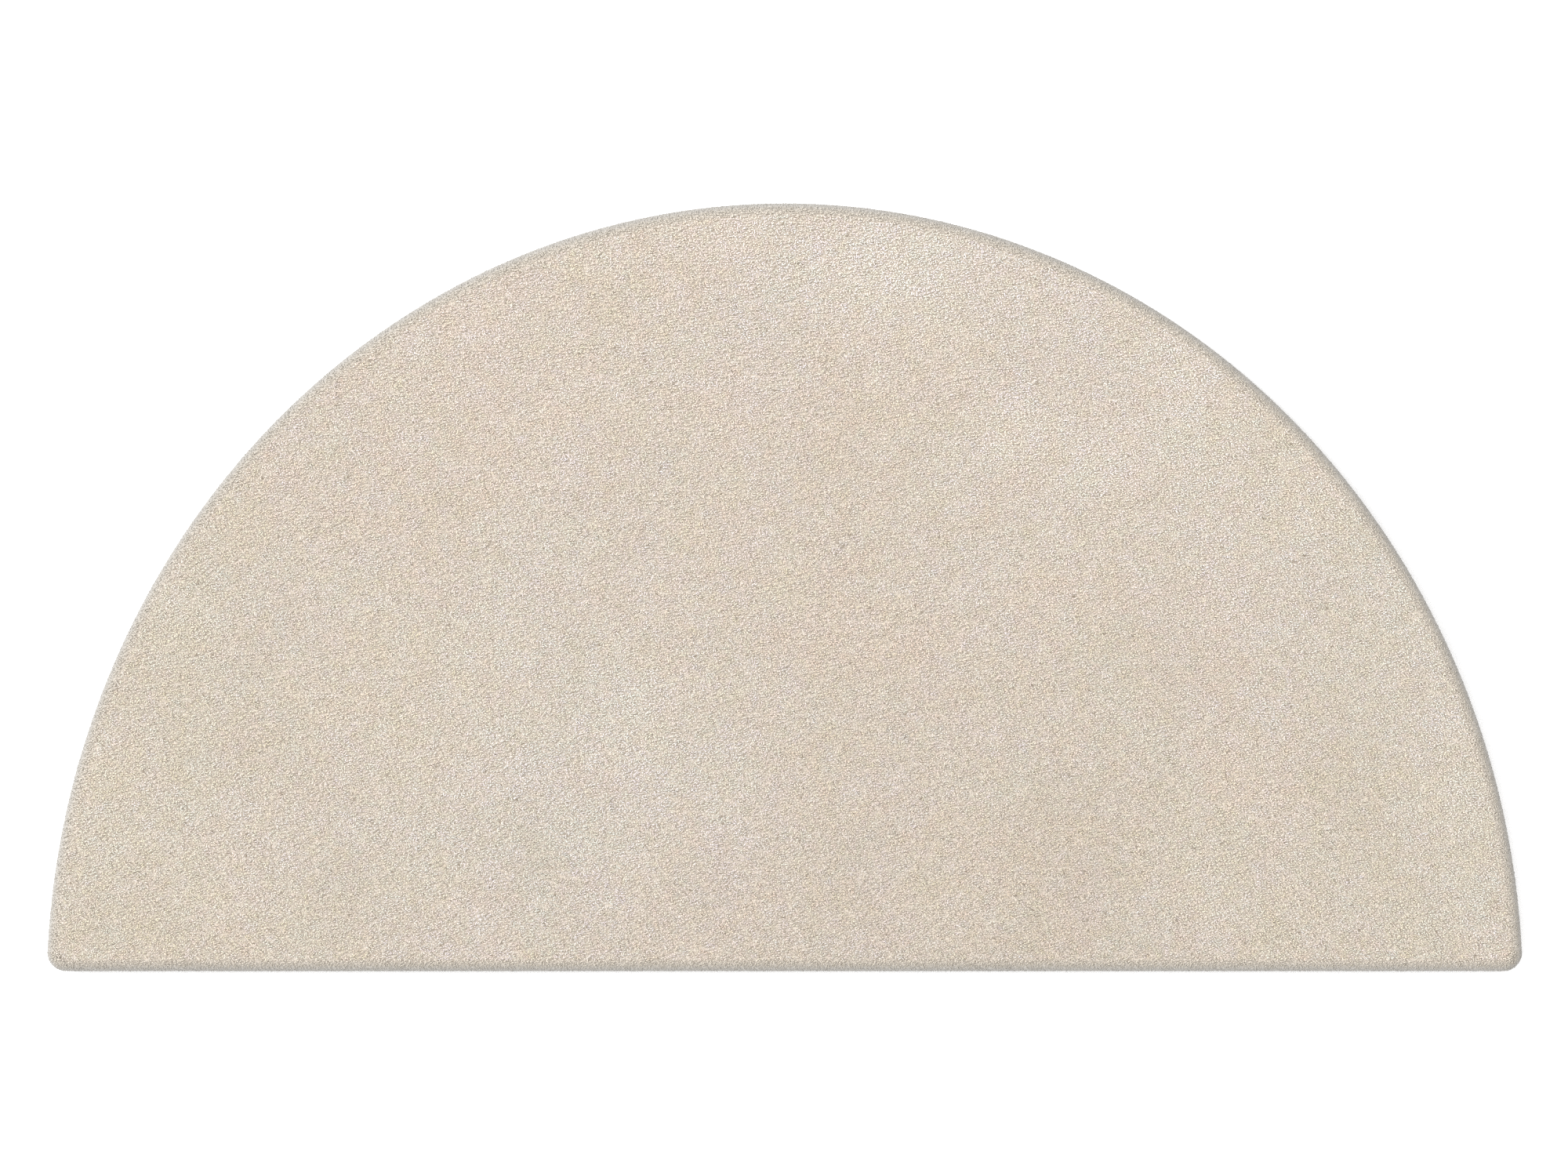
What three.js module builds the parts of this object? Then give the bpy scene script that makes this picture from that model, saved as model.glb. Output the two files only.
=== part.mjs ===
// Half-moon rug of dense, high cut pile, lying flat.
// Millimetres, +Z up. X runs along the straight edge, the round edge faces +Y,
// and the origin is on the floor, under the middle of the rug's box.

import * as THREE from 'three';

// Driving dimensions
const WIDTH = 1200;
const DEPTH = 625;
const PILE_TOP = 18;
const CORNER_RADIUS = 15.3;
const OVAL_DROP = 18.3;

// How finely the edge and the top are divided
const STRAIGHT_STEPS = 50;
const CORNER_STEPS = 6;
const ROUND_STEPS = 112;
const TOP_RINGS = 14;
const SOLVE_PASSES = 8;

// The pile's colour and finish
const PILE_COLOUR = 0xd9cdbe;
const PILE_ROUGHNESS = 0.96;

// The straight edge and the oval that the round edge is an arc of.
// The oval's middle lies OVAL_DROP outside the straight edge.
const STRAIGHT_Y = -DEPTH / 2;
const OVAL_Y = STRAIGHT_Y - OVAL_DROP;
const OVAL_HALF_HEIGHT = DEPTH + OVAL_DROP;
const CORNER_LEVEL = OVAL_DROP + CORNER_RADIUS;
const OVAL_HALF_WIDTH = WIDTH / 2 / Math.sqrt(1 - (CORNER_LEVEL / OVAL_HALF_HEIGHT) ** 2);

// The point that the rings on the top close in on. A half oval's centre of area lies this
// share of its depth from the straight edge.
const MIDDLE_SHARE = 0.425;
const MIDDLE = new THREE.Vector2(0, STRAIGHT_Y + MIDDLE_SHARE * DEPTH);

// Section through the rim, from the underside up to the top of the pile.
// inset is measured inwards from the widest line of the rug, height from the floor,
// and lumps is the share of the top's unevenness that reaches this height.
const RIM_SECTION = [
  { inset: 4.2, height: 0.0, lumps: 0.0 },
  { inset: 3.6, height: 2.4, lumps: 0.0 },
  { inset: 1.2, height: 5.0, lumps: 0.1 },
  { inset: 0.0, height: 8.6, lumps: 0.3 },
  { inset: 0.8, height: 12.4, lumps: 0.5 },
  { inset: 3.2, height: 15.4, lumps: 0.7 },
  { inset: 6.6, height: 17.2, lumps: 0.9 },
  { inset: 10.5, height: PILE_TOP, lumps: 1.0 },
];

// Soft patches where the pile stands up or has been stroked down.
// x and y are the patch's middle, reachX and reachY how far it spreads, rise its height.
const PATCHES = [
  { x: 82, y: 255, reachX: 60, reachY: 36, rise: 1.0 },
  { x: -46, y: 286, reachX: 60, reachY: 24, rise: 0.5 },
  { x: 191, y: 122, reachX: 30, reachY: 30, rise: 0.8 },
  { x: 269, y: 100, reachX: 38, reachY: 26, rise: 0.8 },
  { x: 337, y: 150, reachX: 28, reachY: 50, rise: 0.6 },
  { x: 437, y: 68, reachX: 32, reachY: 30, rise: 0.6 },
  { x: 355, y: 13, reachX: 32, reachY: 60, rise: 0.3 },
  { x: 346, y: -248, reachX: 28, reachY: 58, rise: 0.5 },
  { x: 548, y: -190, reachX: 28, reachY: 80, rise: 0.6 },
  { x: -115, y: -115, reachX: 26, reachY: 60, rise: 0.6 },
  { x: -484, y: -23, reachX: 36, reachY: 36, rise: 0.6 },
  { x: -229, y: -87, reachX: 32, reachY: 76, rise: 0.4 },
  { x: -540, y: -178, reachX: 38, reachY: 58, rise: 0.4 },
  { x: -279, y: 177, reachX: 60, reachY: 40, rise: 0.3 },
  { x: 237, y: -197, reachX: 60, reachY: 68, rise: -0.8 },
  { x: 319, y: -60, reachX: 68, reachY: 28, rise: -0.6 },
  { x: 460, y: -150, reachX: 30, reachY: 86, rise: -0.6 },
  { x: 68, y: -233, reachX: 42, reachY: 42, rise: -0.6 },
  { x: -46, y: -233, reachX: 50, reachY: 34, rise: -0.5 },
  { x: -206, y: -224, reachX: 32, reachY: 42, rise: -0.6 },
  { x: -361, y: -233, reachX: 38, reachY: 46, rise: -0.6 },
  { x: -429, y: -105, reachX: 30, reachY: 52, rise: -0.5 },
  { x: 36, y: 50, reachX: 60, reachY: 140, rise: -0.3 },
  { x: 91, y: -115, reachX: 76, reachY: 94, rise: -0.3 },
];

// Slow swells that cross the whole top.
// length is from crest to crest, heading the direction of travel, rise half the swell's height.
const SWELLS = [
  { length: 165, heading: 0.35, rise: 0.22 },
  { length: 118, heading: 1.9, rise: 0.2 },
  { length: 83, heading: 1.1, rise: 0.14 },
];

// The outward direction at an angle on the oval.
function ovalNormal(angle) {
  const across = Math.cos(angle) / OVAL_HALF_WIDTH;
  const along = Math.sin(angle) / OVAL_HALF_HEIGHT;
  return new THREE.Vector2(across, along).normalize();
}

// The angle on the oval where the round edge runs into the corner's arc: there the inward
// normal, one corner radius long, ends level with the middle of the arc.
function meetingAngle() {
  let angle = 0;
  for (let pass = 0; pass < SOLVE_PASSES; pass += 1) {
    const reach = CORNER_LEVEL + CORNER_RADIUS * ovalNormal(angle).y;
    angle = Math.asin(reach / OVAL_HALF_HEIGHT);
  }
  return angle;
}

// A point on the rug's widest line, with the direction that points out of the rug there.
function edgePoint(x, y, outward) {
  return { place: new THREE.Vector2(x, y), outward };
}

function cornerPoint(middle, angle) {
  const outward = new THREE.Vector2(Math.cos(angle), Math.sin(angle));
  const place = outward.clone().multiplyScalar(CORNER_RADIUS).add(middle);
  return edgePoint(place.x, place.y, outward);
}

function roundPoint(angle) {
  const x = OVAL_HALF_WIDTH * Math.cos(angle);
  const y = OVAL_Y + OVAL_HALF_HEIGHT * Math.sin(angle);
  return edgePoint(x, y, ovalNormal(angle));
}

// The widest line, anticlockwise seen from above: the straight edge, the right corner,
// the round edge and the left corner. Each stretch leaves its last point to the next one.
function widestLine() {
  const start = meetingAngle();
  const meeting = roundPoint(start);
  const cornerX = meeting.place.x - CORNER_RADIUS * meeting.outward.x;
  const right = new THREE.Vector2(cornerX, STRAIGHT_Y + CORNER_RADIUS);
  const left = new THREE.Vector2(-cornerX, right.y);
  const cornerEnd = meeting.outward.angle();
  const turn = cornerEnd + Math.PI / 2;
  const line = [];
  for (let i = 0; i < STRAIGHT_STEPS; i += 1) {
    const x = THREE.MathUtils.lerp(-cornerX, cornerX, i / STRAIGHT_STEPS);
    line.push(edgePoint(x, STRAIGHT_Y, new THREE.Vector2(0, -1)));
  }
  for (let i = 0; i < CORNER_STEPS; i += 1) {
    line.push(cornerPoint(right, -Math.PI / 2 + (turn * i) / CORNER_STEPS));
  }
  for (let i = 0; i < ROUND_STEPS; i += 1) {
    line.push(roundPoint(THREE.MathUtils.lerp(start, Math.PI - start, i / ROUND_STEPS)));
  }
  for (let i = 0; i < CORNER_STEPS; i += 1) {
    line.push(cornerPoint(left, Math.PI - cornerEnd + (turn * i) / CORNER_STEPS));
  }
  return line;
}

// How far the tips of the pile stand above or below their mean height at a place.
function unevenness(x, y) {
  let rise = 0;
  for (const patch of PATCHES) {
    const across = (x - patch.x) / patch.reachX;
    const along = (y - patch.y) / patch.reachY;
    rise += patch.rise * Math.exp(-(across ** 2) - along ** 2);
  }
  for (const swell of SWELLS) {
    const travel = x * Math.cos(swell.heading) + y * Math.sin(swell.heading);
    rise += swell.rise * Math.sin((2 * Math.PI * travel) / swell.length);
  }
  return rise;
}

function liftedPoint(place, height, lumps) {
  return new THREE.Vector3(place.x, place.y, height + lumps * unevenness(place.x, place.y));
}

// All the rings of the skin, from the edge of the underside, up over the rim and in across
// the top. The rings on the top shrink evenly towards the rug's middle.
function skinRings(line) {
  const rings = RIM_SECTION.map((row) => line.map((point) => {
    const place = point.place.clone().addScaledVector(point.outward, -row.inset);
    return liftedPoint(place, row.height, row.lumps);
  }));
  const shoulder = rings[rings.length - 1];
  for (let ring = 1; ring < TOP_RINGS; ring += 1) {
    rings.push(shoulder.map((point) => {
      const place = new THREE.Vector2(point.x, point.y).lerp(MIDDLE, ring / TOP_RINGS);
      return liftedPoint(place, PILE_TOP, 1);
    }));
  }
  return rings;
}

// The closed skin: bands of triangles between the rings, and a fan at each end.
function rugGeometry() {
  const rings = skinRings(widestLine());
  const count = rings[0].length;
  const points = rings.flat();
  const faces = [];
  for (let ring = 0; ring + 1 < rings.length; ring += 1) {
    for (let i = 0; i < count; i += 1) {
      const a = ring * count + i;
      const b = ring * count + ((i + 1) % count);
      faces.push(a, b, b + count, a, b + count, a + count);
    }
  }
  const underMiddle = points.push(new THREE.Vector3(MIDDLE.x, MIDDLE.y, 0)) - 1;
  const topMiddle = points.push(liftedPoint(MIDDLE, PILE_TOP, 1)) - 1;
  const innermost = (rings.length - 1) * count;
  for (let i = 0; i < count; i += 1) {
    const next = (i + 1) % count;
    faces.push(underMiddle, next, i);
    faces.push(topMiddle, innermost + i, innermost + next);
  }
  const geometry = new THREE.BufferGeometry().setFromPoints(points);
  geometry.setIndex(faces);
  geometry.computeVertexNormals();
  return geometry;
}

// The rug is one piece: its pile, its backing and its rolled rim are one cloth.
function makeRug() {
  const pile = new THREE.MeshStandardMaterial({
    name: 'pile',
    color: PILE_COLOUR,
    roughness: PILE_ROUGHNESS,
    metalness: 0,
  });
  const rug = new THREE.Mesh(rugGeometry(), pile);
  rug.name = 'rug';
  return rug;
}

const highPileRug = new THREE.Group();
highPileRug.add(makeRug());

export default highPileRug;
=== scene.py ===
# %% [markdown]
# # A half-moon rug with a high, dense pile
#
# The real rug is one cloth. Ends of yarn stand up out of a woven base, packed so closely that
# they hold each other up, and at the edge, where nothing holds them, they roll over and hide
# the side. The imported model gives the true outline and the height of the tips. This script
# keeps that frame, lays a base cloth in it and plants the pile on the cloth, strand by strand.

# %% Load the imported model
import math

import bpy
import numpy as np
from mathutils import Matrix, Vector


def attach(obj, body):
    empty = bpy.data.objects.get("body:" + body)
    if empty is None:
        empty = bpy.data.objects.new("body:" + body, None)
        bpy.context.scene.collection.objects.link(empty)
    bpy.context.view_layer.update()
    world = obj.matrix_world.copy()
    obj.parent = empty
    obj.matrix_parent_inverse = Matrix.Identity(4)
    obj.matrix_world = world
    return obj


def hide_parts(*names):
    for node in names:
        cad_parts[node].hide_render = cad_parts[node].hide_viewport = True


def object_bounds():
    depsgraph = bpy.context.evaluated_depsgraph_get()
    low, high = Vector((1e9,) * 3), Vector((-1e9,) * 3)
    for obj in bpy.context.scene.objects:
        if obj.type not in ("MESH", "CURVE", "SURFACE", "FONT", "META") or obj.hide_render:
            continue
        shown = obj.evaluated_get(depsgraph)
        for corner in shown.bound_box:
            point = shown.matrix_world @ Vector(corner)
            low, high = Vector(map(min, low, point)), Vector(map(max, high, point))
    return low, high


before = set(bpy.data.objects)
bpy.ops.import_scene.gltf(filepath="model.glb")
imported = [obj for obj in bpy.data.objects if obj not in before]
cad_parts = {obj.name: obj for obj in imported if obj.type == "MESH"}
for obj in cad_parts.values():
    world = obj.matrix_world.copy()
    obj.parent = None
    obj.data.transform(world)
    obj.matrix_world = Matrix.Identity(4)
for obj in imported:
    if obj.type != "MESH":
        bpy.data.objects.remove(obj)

cad_low, cad_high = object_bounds()
RUG_WIDTH = cad_high.x - cad_low.x
RUG_DEPTH = cad_high.y - cad_low.y
print(f"The rug is {RUG_WIDTH:.3f} m wide, {RUG_DEPTH:.3f} m deep and {cad_high.z:.4f} m high")

# %% [markdown]
# ## The camera
#
# The photo looks straight down on the rug. A short lens would show more of the near side of
# the rim than of the far side, and the photo shows the rim equally wide all round. So the
# camera hangs high over the rug with a long lens, and its distance follows from the width of
# the rug in the picture.

# %% Hang the camera over the rug
PICTURE_PX = (2000, 1500)
RUG_WIDTH_PX = 1882
RUG_MIDDLE_PX = (1000.8, 749.0)
LENS_MM = 100
SENSOR_MM = 36
WIDEST_HEIGHT = 0.010
FARTHEST_SEEN = 100

metres_per_px = RUG_WIDTH / RUG_WIDTH_PX
camera_height = WIDEST_HEIGHT + metres_per_px * PICTURE_PX[0] * LENS_MM / SENSOR_MM

camera_data = bpy.data.cameras.new("camera")
camera_data.lens = LENS_MM
camera_data.sensor_width = SENSOR_MM
camera_data.clip_end = FARTHEST_SEEN
camera = bpy.data.objects.new("camera", camera_data)
camera.location = (
    (PICTURE_PX[0] / 2 - RUG_MIDDLE_PX[0]) * metres_per_px,
    (RUG_MIDDLE_PX[1] - PICTURE_PX[1] / 2) * metres_per_px,
    camera_height,
)
bpy.context.scene.collection.objects.link(camera)
bpy.context.scene.camera = camera
print(f"The camera hangs {camera_height:.2f} m up, and a pixel is {metres_per_px * 1000:.2f} mm")

# %% [markdown]
# ## The outline
#
# The round edge is an arc of an oval whose middle lies a little outside the straight edge, and
# two small arcs round the corners. The line could be drawn as a curve object, but the pile
# needs to know how far any place is from the edge, so the outline is worked out in numbers:
# once as a line to walk along, and once as a distance to measure.

# %% Work out the outline
CORNER_RADIUS = 0.0153
OVAL_DROP = 0.0183
OVAL_STEPS = 6000
STRAIGHT_STEPS = 3000
CORNER_STEPS = 300

straight_y = cad_low.y
oval_y = straight_y - OVAL_DROP
oval_half_height = RUG_DEPTH + OVAL_DROP
corner_level = OVAL_DROP + CORNER_RADIUS
oval_half_width = RUG_WIDTH / 2 / math.sqrt(1 - (corner_level / oval_half_height) ** 2)


def inset_at(x, y):
    """How far inside the widest line of the rug a place is, near enough for planting."""
    u, v = x / oval_half_width, (y - oval_y) / oval_half_height
    reach = np.hypot(u, v)
    slope = np.hypot(u / oval_half_width, v / oval_half_height) / np.maximum(reach, 1e-9)
    from_oval = (1 - reach) / slope
    from_straight = y - straight_y
    in_corner = CORNER_RADIUS - np.hypot(
        np.maximum(CORNER_RADIUS - from_oval, 0), np.maximum(CORNER_RADIUS - from_straight, 0)
    )
    near_corner = (from_oval < CORNER_RADIUS) & (from_straight < CORNER_RADIUS)
    return np.where(near_corner, in_corner, np.minimum(from_oval, from_straight))


def corner_turn(middle_x, start, end):
    """Places and outward directions along one rounded corner."""
    angle = np.linspace(start, end, CORNER_STEPS)
    outward = np.stack([np.cos(angle), np.sin(angle)], 1)
    return (middle_x, straight_y + CORNER_RADIUS) + CORNER_RADIUS * outward, outward


def widest_line():
    """Places and outward directions all round the rug, anticlockwise from the left corner."""
    start = math.asin(corner_level / oval_half_height)
    angle = np.linspace(start, math.pi - start, OVAL_STEPS)
    oval = np.stack([oval_half_width * np.cos(angle), oval_half_height * np.sin(angle)], 1)
    oval_out = oval / (oval_half_width**2, oval_half_height**2)
    oval_out /= np.linalg.norm(oval_out, axis=1)[:, None]
    corner_x = RUG_WIDTH / 2 - CORNER_RADIUS
    tilt = math.atan2(oval_out[0, 1], oval_out[0, 0])
    right, right_out = corner_turn(corner_x, -math.pi / 2, tilt)
    left, left_out = corner_turn(-corner_x, math.pi - tilt, 1.5 * math.pi)
    x = np.linspace(-corner_x, corner_x, STRAIGHT_STEPS)
    straight = np.stack([x, np.full_like(x, straight_y)], 1)
    straight_out = np.tile((0.0, -1.0), (len(x), 1))
    places = np.concatenate([straight, right, oval + (0, oval_y), left])
    outward = np.concatenate([straight_out, right_out, oval_out, left_out])
    return places, outward


line_places, line_outward = widest_line()
line_steps = np.linalg.norm(np.diff(line_places, axis=0, append=line_places[:1]), axis=1)
line_distance = np.concatenate([[0], np.cumsum(line_steps)[:-1]])
LINE_LENGTH = float(line_steps.sum())


def along_line(distance):
    """Places and outward directions at these distances along the widest line."""
    distance = np.mod(distance, LINE_LENGTH)
    columns = [np.interp(distance, line_distance, c) for c in (*line_places.T, *line_outward.T)]
    outward = np.stack(columns[2:], -1)
    return np.stack(columns[:2], -1), outward / np.linalg.norm(outward, axis=-1, keepdims=True)


# %% [markdown]
# ## The lie of the pile
#
# A plush top is never quite flat. Here and there the pile has been stroked up or down, and it
# shows as soft patches. Their places and strengths are given, a row for each patch, by comparing
# pictures of the model with the photo area by area. The same table gives both the gentle rise of
# the top and the lightness of the strands, as one cause gives both on a real rug. That lightness
# is painted light and shade: the strands are painted lighter where the tips stand open and darker
# where they lie, for the way the pile catches the light there. A second table holds the wide,
# slow drifts. Their light is painted light and shade too, mostly lighter towards the top and
# darker towards the bottom; their pale and rosy change only the tint of the yarn.

# %% Place the soft patches and the slow swells
PATCHES = [
    # x, y, reach_x, reach_y, rise, light: millimetres, and light, which is painted light and shade, in
    # its own steps
    dict(x=82, y=255, reach_x=60, reach_y=36, rise=1.0, light=1.0),
    dict(x=-46, y=286, reach_x=60, reach_y=24, rise=0.5, light=0.6),
    dict(x=191, y=122, reach_x=30, reach_y=30, rise=0.8, light=0.9),
    dict(x=269, y=100, reach_x=38, reach_y=26, rise=0.8, light=0.9),
    dict(x=337, y=150, reach_x=28, reach_y=50, rise=0.6, light=0.6),
    dict(x=437, y=68, reach_x=32, reach_y=30, rise=0.6, light=0.6),
    dict(x=355, y=13, reach_x=32, reach_y=60, rise=0.3, light=0.3),
    dict(x=346, y=-248, reach_x=28, reach_y=58, rise=0.5, light=0.5),
    dict(x=548, y=-190, reach_x=28, reach_y=80, rise=0.6, light=0.3),
    dict(x=-115, y=-115, reach_x=26, reach_y=60, rise=0.6, light=0.5),
    dict(x=-484, y=-23, reach_x=36, reach_y=36, rise=0.6, light=0.5),
    dict(x=-229, y=-87, reach_x=32, reach_y=76, rise=0.4, light=0.3),
    dict(x=-540, y=-178, reach_x=38, reach_y=58, rise=0.4, light=0.4),
    dict(x=-279, y=177, reach_x=60, reach_y=40, rise=0.3, light=0.2),
    dict(x=237, y=-197, reach_x=60, reach_y=68, rise=-0.8, light=-0.8),
    dict(x=319, y=-60, reach_x=68, reach_y=28, rise=-0.6, light=-0.5),
    dict(x=460, y=-150, reach_x=30, reach_y=86, rise=-0.6, light=-0.6),
    dict(x=68, y=-233, reach_x=42, reach_y=42, rise=-0.6, light=-0.5),
    dict(x=-46, y=-233, reach_x=50, reach_y=34, rise=-0.5, light=-0.4),
    dict(x=-206, y=-224, reach_x=32, reach_y=42, rise=-0.6, light=-0.5),
    dict(x=-361, y=-233, reach_x=38, reach_y=46, rise=-0.6, light=-0.5),
    dict(x=-429, y=-105, reach_x=30, reach_y=52, rise=-0.5, light=-0.4),
    dict(x=36, y=50, reach_x=60, reach_y=140, rise=-0.3, light=-0.3),
    dict(x=91, y=-115, reach_x=76, reach_y=94, rise=-0.3, light=-0.3),
]
DRIFTS = [
    # light, pale and rosy each in its own steps; light is painted light and shade, pale and rosy are
    # tint
    dict(x=100, y=300, reach_x=230, reach_y=110, light=1.1, pale=0.45, rosy=0.2),
    dict(x=110, y=260, reach_x=90, reach_y=55, light=0.1, pale=1.2, rosy=-0.45),
    dict(x=330, y=210, reach_x=130, reach_y=110, light=0.6, pale=0.3, rosy=-0.4),
    dict(x=-230, y=170, reach_x=190, reach_y=140, light=0.6, pale=-0.4, rosy=0.9),
    dict(x=-320, y=60, reach_x=110, reach_y=60, light=0.0, pale=-0.7, rosy=0.1),
    dict(x=200, y=-290, reach_x=300, reach_y=190, light=-1.0, pale=-0.1, rosy=0.1),
    dict(x=165, y=-185, reach_x=50, reach_y=60, light=0.35, pale=0.0, rosy=0.0),
    dict(x=210, y=-260, reach_x=80, reach_y=70, light=0.0, pale=-1.1, rosy=0.0),
    dict(x=240, y=80, reach_x=180, reach_y=30, light=0.25, pale=0.0, rosy=0.0),
    dict(x=-120, y=25, reach_x=60, reach_y=30, light=-0.3, pale=0.0, rosy=0.0),
    dict(x=-318, y=-220, reach_x=45, reach_y=60, light=0.0, pale=0.6, rosy=-0.9),
    dict(x=0, y=-310, reach_x=700, reach_y=32, light=-0.6, pale=-0.3, rosy=0.0),
    dict(x=530, y=-240, reach_x=80, reach_y=80, light=-0.25, pale=0.0, rosy=-0.6),
    dict(x=570, y=-80, reach_x=100, reach_y=240, light=0.0, pale=0.6, rosy=-1.3),
    dict(x=460, y=10, reach_x=70, reach_y=90, light=0.0, pale=0.6, rosy=-0.6),
    dict(x=380, y=-250, reach_x=130, reach_y=90, light=0.0, pale=0.0, rosy=-0.9),
    dict(x=400, y=-170, reach_x=70, reach_y=70, light=0.0, pale=-0.8, rosy=0.4),
    dict(x=-170, y=-160, reach_x=100, reach_y=150, light=0.0, pale=2.0, rosy=-0.4),
    dict(x=60, y=20, reach_x=130, reach_y=260, light=0.1, pale=-0.65, rosy=0.5),
    dict(x=-500, y=-140, reach_x=110, reach_y=230, light=0.0, pale=-0.4, rosy=-1.1),
]
SWELLS = [
    dict(length=165, heading=0.35, rise=0.22),
    dict(length=118, heading=1.9, rise=0.20),
    dict(length=83, heading=1.1, rise=0.14),
]
MM = 0.001


def field(table, column, x, y):
    """The sum of one column of a table of patches, each fading out round its middle."""
    total = np.zeros_like(x)
    for patch in table:
        across = (x / MM - patch["x"]) / patch["reach_x"]
        along = (y / MM - patch["y"]) / patch["reach_y"]
        total += patch[column] * np.exp(-(across**2) - along**2)
    return total


def unevenness(x, y):
    """How far the tips stand over or under their mean height, in metres."""
    total = field(PATCHES, "rise", x, y)
    for swell in SWELLS:
        travel = x / MM * math.cos(swell["heading"]) + y / MM * math.sin(swell["heading"])
        total += swell["rise"] * np.sin(2 * math.pi * travel / swell["length"])
    return total * MM


MOTTLE_CELLS = 256


def mottle(x, y, size, seed):
    """Smooth chance values from -1 to 1 that change over about one size."""
    cells = MOTTLE_CELLS
    table = np.random.default_rng(seed).uniform(-1, 1, (cells, cells))
    column, row = np.floor(x / size).astype(int), np.floor(y / size).astype(int)
    u, v = x / size - column, y / size - row
    u, v = u * u * (3 - 2 * u), v * v * (3 - 2 * v)
    near, far = row % cells, (row + 1) % cells
    left, right = column % cells, (column + 1) % cells
    low = table[near, left] * (1 - u) + table[near, right] * u
    high = table[far, left] * (1 - u) + table[far, right] * u
    return low * (1 - v) + high * v


# %% [markdown]
# ## The rolled rim
#
# Along the edge the outermost strands have nothing to lean on, so the pile rolls over and
# hides the side. The section of that roll is drawn once, from its foot just over the floor up
# to the shoulder where the top begins, and everything at the rim is set out on it: the base
# cloth a little under the roll, and the tips of the strands on it.

# %% Draw the section of the roll
ROLL = [
    # inset from the widest line and height over the floor in millimetres, and the share of
    # the top's unevenness that reaches this height
    dict(inset=4.0, height=1.2, lumps=0.0),
    dict(inset=2.6, height=3.2, lumps=0.0),
    dict(inset=1.2, height=5.0, lumps=0.1),
    dict(inset=0.3, height=6.8, lumps=0.2),
    dict(inset=0.0, height=8.6, lumps=0.3),
    dict(inset=0.2, height=10.6, lumps=0.4),
    dict(inset=0.8, height=12.4, lumps=0.5),
    dict(inset=1.8, height=14.1, lumps=0.6),
    dict(inset=3.2, height=15.4, lumps=0.7),
    dict(inset=5.0, height=16.5, lumps=0.8),
    dict(inset=7.0, height=17.3, lumps=0.9),
    dict(inset=10.5, height=18.0, lumps=1.0),
]
PILE_TOP = ROLL[-1]["height"] * MM
SHOULDER_INSET = ROLL[-1]["inset"] * MM

roll_inset = np.array([row["inset"] for row in ROLL]) * MM
roll_height = np.array([row["height"] for row in ROLL]) * MM
roll_lumps = np.array([row["lumps"] for row in ROLL])
roll_climb = np.concatenate([[0], np.cumsum(np.hypot(np.diff(roll_inset), np.diff(roll_height)))])
ROLL_LENGTH = float(roll_climb[-1])
WIDEST_CLIMB = float(roll_climb[np.argmin(roll_inset)])
SIDE_CLIMB = 0.0145
SLOPE_REACH = 0.5 * MM


def top_share(climb):
    """How far the roll has turned into the top: 0 on its side and 1 at the shoulder."""
    return np.interp(climb, (SIDE_CLIMB, ROLL_LENGTH), (0.0, 1.0))


def roll_at(distance, climb, sink=0.0):
    """Places on the roll, or sunk under it, with the way it faces and the way up it."""
    places, outward = along_line(distance)
    rise = np.interp(climb + SLOPE_REACH, roll_climb, roll_height)
    rise -= np.interp(climb - SLOPE_REACH, roll_climb, roll_height)
    run = np.interp(climb + SLOPE_REACH, roll_climb, roll_inset)
    run -= np.interp(climb - SLOPE_REACH, roll_climb, roll_inset)
    out, up = np.array([rise, run]) / np.hypot(rise, run)
    inset = np.interp(climb, roll_climb, roll_inset) + sink * out
    height = np.interp(climb, roll_climb, roll_height) - sink * up
    places = places - outward * inset[:, None]
    height = height + np.interp(climb, roll_climb, roll_lumps) * unevenness(*places.T)
    facing = np.column_stack([outward * out[:, None], up])
    uphill = np.column_stack([-outward * up[:, None], out])
    return np.column_stack([places, height]), facing, uphill


print(f"The roll is {ROLL_LENGTH * 1000:.1f} mm from its foot to the shoulder")

# %% [markdown]
# ## The base cloth
#
# Under the tips lies the body of the rug: the woven cloth that the yarn is fixed in, with the
# lower part of the pile on it, which is packed so tightly that no light comes through. Little
# of it shows: glints between the strands, and its flat underside. It could be a few thick
# slabs, but their corners would cut into the pile. So it is one closed skin of rings: across
# the underside, up under the roll, and in over the top. The points of a ring stand closer
# together at the two corners, so that the strands there have it close behind them.

# %% Set out the rings of the base cloth
TIP_DEPTH = 0.0019
RIM_TIP_DEPTH = 0.0003
BASE_FOOT_INSET = 0.0052
BASE_EDGE_POINTS = 340
LENGTH_PER_TURN = 0.08
BASE_ROLL_RINGS = 12
BASE_TOP_RINGS = 16
MIDDLE_SHARE = 0.425
MIDDLE = np.array([0.0, straight_y + MIDDLE_SHARE * RUG_DEPTH])
CHART = "OFBake"
# How much of the painted shade of the side each point of the base cloth gets.
RIM_SHADE_MARK = "rim"


def base_steps():
    """Distances along the widest line for the points of a ring, closer where the line turns."""
    turn = np.linalg.norm(np.diff(line_outward, axis=0, append=line_outward[:1]), axis=1)
    effort = np.concatenate([[0], np.cumsum(line_steps + LENGTH_PER_TURN * turn)])
    wanted = np.arange(BASE_EDGE_POINTS) * effort[-1] / BASE_EDGE_POINTS
    return np.interp(wanted, effort, np.append(line_distance, LINE_LENGTH))


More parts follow.
